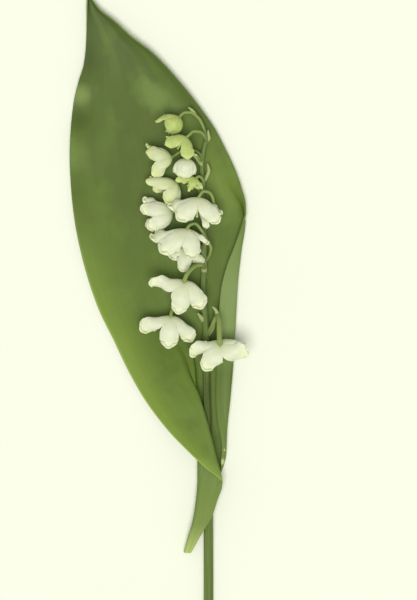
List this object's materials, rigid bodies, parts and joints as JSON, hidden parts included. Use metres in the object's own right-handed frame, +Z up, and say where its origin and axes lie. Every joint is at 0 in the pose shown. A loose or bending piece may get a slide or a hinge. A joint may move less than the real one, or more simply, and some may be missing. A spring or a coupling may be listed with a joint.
{
  "type": "lily of the valley flower",
  "caption": "Picked lily of the valley lying flat: a slender stem of nodding six-lobed white bells with green young ones, in its long folded leaf, as a botanical specimen or decoration",
  "frame": {"origin": "on the surface that the flower lies on, under the middle of the whole plant", "axes": "+Y along the stem towards the top flower and the leaf tip, +X to the right seen from above, +Z up from the surface"},
  "size_m": [0.0468, 0.1684, 0.0102],
  "materials": {
    "leaf_green": "satin",
    "stem_green": "satin",
    "petal_white": "satin",
    "petal_green": "satin",
    "heart_yellow": "satin"
  },
  "bodies": {
    "root": {"leaf": "leaf_green", "flower_stem": "stem_green", "bell_01": "petal_green", "bell_02": "petal_green", "bell_03": "petal_white", "bell_04": "petal_white", "bell_05": "petal_green", "bell_06": "petal_white", "bell_07": "petal_white", "bell_08": "petal_white", "bell_09": "petal_white", "bell_10": "petal_white", "bell_11": "petal_white", "bell_12": "petal_white", "bell_13": "petal_white", "heart_01": "heart_yellow", "heart_02": "heart_yellow", "heart_03": "heart_yellow", "heart_04": "heart_yellow", "heart_05": "heart_yellow", "heart_06": "heart_yellow", "heart_07": "heart_yellow", "heart_08": "heart_yellow", "heart_09": "heart_yellow", "heart_10": "heart_yellow", "heart_11": "heart_yellow", "heart_12": "heart_yellow", "heart_13": "heart_yellow"}
  },
  "joints": []
}
